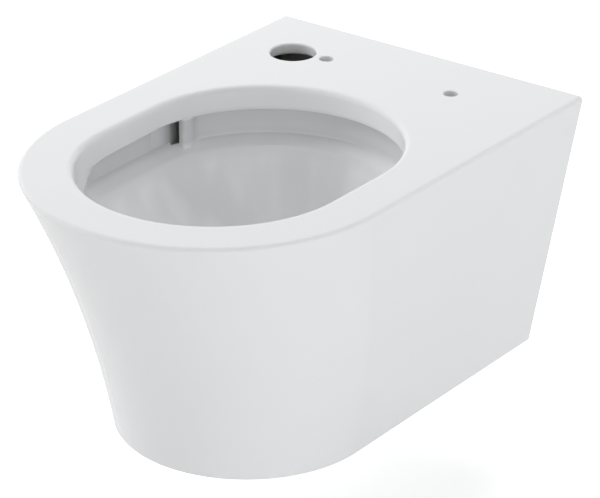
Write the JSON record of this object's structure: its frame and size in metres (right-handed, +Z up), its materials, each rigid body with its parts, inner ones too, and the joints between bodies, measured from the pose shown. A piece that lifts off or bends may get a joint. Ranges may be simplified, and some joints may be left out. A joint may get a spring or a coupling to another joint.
{
  "type": "wall hung toilet",
  "caption": "Rimless wall hung toilet pan of D plan with a hollow skirt, flush channel, trapway and concealed clamps that reach down to its wall arms through the seat holes.",
  "frame": {"origin": "on the finished wall, midway between the two wall studs", "axes": "+X to the right as seen from the front, +Y into the wall along the studs, +Z up"},
  "size_m": [0.375, 0.54, 0.289],
  "materials": {
    "glazed_china": "white gloss glaze on vitreous china",
    "cast_bracket": "grey coat on cast iron",
    "cast_foot": "die-cast, as cast",
    "liner_plastic": "matt",
    "bush_plastic": "matt",
    "zinc_steel": "zinc plated",
    "plated_insert": "yellow passivated",
    "screw_steel": "bright zinc",
    "spring_steel": "blued"
  },
  "bodies": {
    "root": {"skirt": "glazed_china", "rim_deck": "glazed_china", "bowl": "glazed_china", "trapway": "glazed_china", "flush_channel": "glazed_china", "hanger_right": "glazed_china", "hanger_left": "glazed_china", "wall_bracket_right": "cast_bracket", "bracket_liner_right": "liner_plastic", "stud_washer_right": "zinc_steel", "stud_nut_right": "zinc_steel", "deck_bush_right": "bush_plastic", "thread_insert_right": "plated_insert", "wall_bracket_left": "cast_bracket", "bracket_liner_left": "liner_plastic", "stud_washer_left": "zinc_steel", "stud_nut_left": "zinc_steel", "deck_bush_left": "bush_plastic", "thread_insert_left": "plated_insert"},
    "clamp_foot_right": {"clamp_foot_right": "cast_foot"},
    "clamp_screw_right": {"clamp_screw_right": "screw_steel", "screw_clip_right": "spring_steel"},
    "clamp_foot_left": {"clamp_foot_left": "cast_foot"},
    "clamp_screw_left": {"clamp_screw_left": "screw_steel", "screw_clip_left": "spring_steel"}
  },
  "joints": [
    {"name": "foot_travel_right", "type": "slide", "parent": "root", "child": "clamp_foot_right", "axis": [0, 0, 1], "range_m": [0, 0.01]},
    {"name": "screw_turn_right", "type": "hinge", "parent": "clamp_foot_right", "child": "clamp_screw_right", "pos_m": [0.0775, -0.072, 0.03], "axis": [0, 0, 1], "range_deg": [0, 2340]},
    {"name": "foot_travel_left", "type": "slide", "parent": "root", "child": "clamp_foot_left", "axis": [0, 0, 1], "range_m": [0, 0.01]},
    {"name": "screw_turn_left", "type": "hinge", "parent": "clamp_foot_left", "child": "clamp_screw_left", "pos_m": [-0.0775, -0.072, 0.03], "axis": [0, 0, 1], "range_deg": [0, 2340]}
  ],
  "couplings": [
    {"joint": "foot_travel_right", "follows": "screw_turn_right", "m_per_rad": 0.00023873},
    {"joint": "foot_travel_left", "follows": "screw_turn_left", "m_per_rad": 0.00023873}
  ]
}
